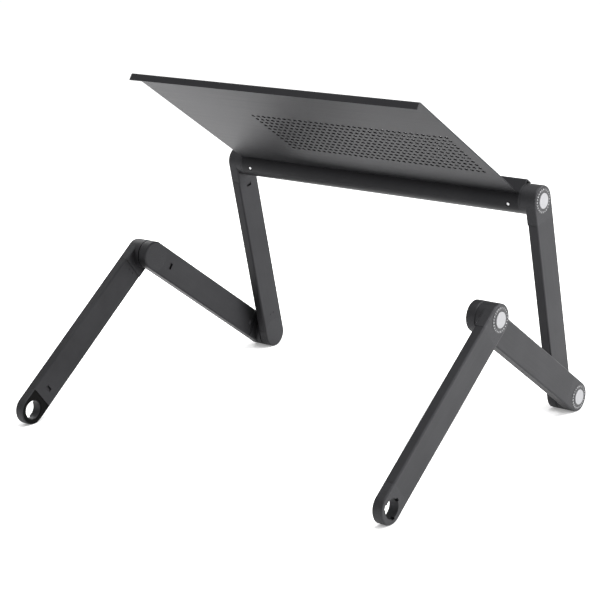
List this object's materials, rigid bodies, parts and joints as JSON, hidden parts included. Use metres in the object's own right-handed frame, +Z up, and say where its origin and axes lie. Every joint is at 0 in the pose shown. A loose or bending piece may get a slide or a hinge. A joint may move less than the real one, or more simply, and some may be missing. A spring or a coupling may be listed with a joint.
{
  "type": "laptop stand",
  "caption": "Folding laptop stand: a tilted perforated tray on a round beam, carried by two chains of flat legs with lockable push-button hinges.",
  "frame": {"origin": "on the floor, under the middle of the stand's overall box", "axes": "+X to the user's right along the beam, +Y away from the user towards the tray's high edge, +Z up"},
  "size_m": [0.5524, 0.44, 0.4091],
  "materials": {
    "black_sheet": "black anodised sheet, fine satin",
    "black_extrusion": "black anodised extrusion, satin",
    "black_casting": "black powder coat on die casting, satin",
    "dial_plastic": "black plastic with small light marks",
    "silver_button": "pale silver paint",
    "black_plastic": "black moulded plastic",
    "gear_steel": "sintered steel",
    "spring_steel": "bright spring steel",
    "bright_screw": "zinc plated",
    "black_screw": "black oxide"
  },
  "bodies": {
    "tray_body": {"tray": "black_sheet", "beam": "black_extrusion", "tray_screws": "black_screw", "beam_end_screws": "bright_screw", "left_beam_end_socket": "black_casting", "right_beam_end_socket": "black_casting", "left_upper_retaining_ring": "spring_steel", "left_upper_spring": "spring_steel", "right_upper_retaining_ring": "spring_steel", "right_upper_spring": "spring_steel"},
    "left_upper_leg": {"left_upper_bar": "black_extrusion", "left_upper_button_end": "black_casting", "left_upper_dial_ring": "dial_plastic", "left_upper_socket_end": "black_casting", "left_middle_retaining_ring": "spring_steel", "left_middle_spring": "spring_steel"},
    "left_upper_lock": {"left_upper_button": "silver_button", "left_upper_lock_gear": "gear_steel"},
    "left_middle_leg": {"left_middle_bar": "black_extrusion", "left_middle_button_end": "black_casting", "left_middle_dial_ring": "dial_plastic", "left_middle_socket_end": "black_casting", "left_lower_retaining_ring": "spring_steel", "left_lower_spring": "spring_steel"},
    "left_middle_lock": {"left_middle_button": "silver_button", "left_middle_lock_gear": "gear_steel"},
    "left_lower_leg": {"left_lower_bar": "black_extrusion", "left_lower_button_end": "black_casting", "left_lower_dial_ring": "dial_plastic", "left_lower_foot_end": "black_casting", "left_lower_foot_insert": "black_plastic"},
    "left_lower_lock": {"left_lower_button": "silver_button", "left_lower_lock_gear": "gear_steel"},
    "right_upper_leg": {"right_upper_bar": "black_extrusion", "right_upper_button_end": "black_casting", "right_upper_dial_ring": "dial_plastic", "right_upper_socket_end": "black_casting", "right_middle_retaining_ring": "spring_steel", "right_middle_spring": "spring_steel"},
    "right_upper_lock": {"right_upper_button": "silver_button", "right_upper_lock_gear": "gear_steel"},
    "right_middle_leg": {"right_middle_bar": "black_extrusion", "right_middle_button_end": "black_casting", "right_middle_dial_ring": "dial_plastic", "right_middle_socket_end": "black_casting", "right_lower_retaining_ring": "spring_steel", "right_lower_spring": "spring_steel"},
    "right_middle_lock": {"right_middle_button": "silver_button", "right_middle_lock_gear": "gear_steel"},
    "right_lower_leg": {"right_lower_bar": "black_extrusion", "right_lower_button_end": "black_casting", "right_lower_dial_ring": "dial_plastic", "right_lower_foot_end": "black_casting", "right_lower_foot_insert": "black_plastic"},
    "right_lower_lock": {"right_lower_button": "silver_button", "right_lower_lock_gear": "gear_steel"}
  },
  "joints": [
    {"name": "left_upper_fold", "type": "hinge", "parent": "tray_body", "child": "left_upper_leg", "pos_m": [-0.212, -0.15396, 0.26537], "axis": [1, 0, 0], "continuous": true},
    {"name": "left_upper_press", "type": "slide", "parent": "left_upper_leg", "child": "left_upper_lock", "axis": [1, 0, 0], "range_m": [0, 0.0032], "stiffness_N_per_m": 1500, "deforming": ["left_upper_spring"]},
    {"name": "left_middle_fold", "type": "hinge", "parent": "left_upper_leg", "child": "left_middle_leg", "pos_m": [-0.233, -0.20205, 0.018], "axis": [1, 0, 0], "continuous": true},
    {"name": "left_middle_press", "type": "slide", "parent": "left_middle_leg", "child": "left_middle_lock", "axis": [1, 0, 0], "range_m": [0, 0.0032], "stiffness_N_per_m": 1500, "deforming": ["left_middle_spring"]},
    {"name": "left_lower_fold", "type": "hinge", "parent": "left_middle_leg", "child": "left_lower_leg", "pos_m": [-0.254, 0, 0.1686], "axis": [1, 0, 0], "continuous": true},
    {"name": "left_lower_press", "type": "slide", "parent": "left_lower_leg", "child": "left_lower_lock", "axis": [1, 0, 0], "range_m": [0, 0.0032], "stiffness_N_per_m": 1500, "deforming": ["left_lower_spring"]},
    {"name": "right_upper_fold", "type": "hinge", "parent": "tray_body", "child": "right_upper_leg", "pos_m": [0.212, -0.15396, 0.26537], "axis": [1, 0, 0], "continuous": true},
    {"name": "right_upper_press", "type": "slide", "parent": "right_upper_leg", "child": "right_upper_lock", "axis": [-1, 0, 0], "range_m": [0, 0.0032], "stiffness_N_per_m": 1500, "deforming": ["right_upper_spring"]},
    {"name": "right_middle_fold", "type": "hinge", "parent": "right_upper_leg", "child": "right_middle_leg", "pos_m": [0.233, -0.20205, 0.018], "axis": [1, 0, 0], "continuous": true},
    {"name": "right_middle_press", "type": "slide", "parent": "right_middle_leg", "child": "right_middle_lock", "axis": [-1, 0, 0], "range_m": [0, 0.0032], "stiffness_N_per_m": 1500, "deforming": ["right_middle_spring"]},
    {"name": "right_lower_fold", "type": "hinge", "parent": "right_middle_leg", "child": "right_lower_leg", "pos_m": [0.254, 0, 0.1686], "axis": [1, 0, 0], "continuous": true},
    {"name": "right_lower_press", "type": "slide", "parent": "right_lower_leg", "child": "right_lower_lock", "axis": [-1, 0, 0], "range_m": [0, 0.0032], "stiffness_N_per_m": 1500, "deforming": ["right_lower_spring"]}
  ]
}
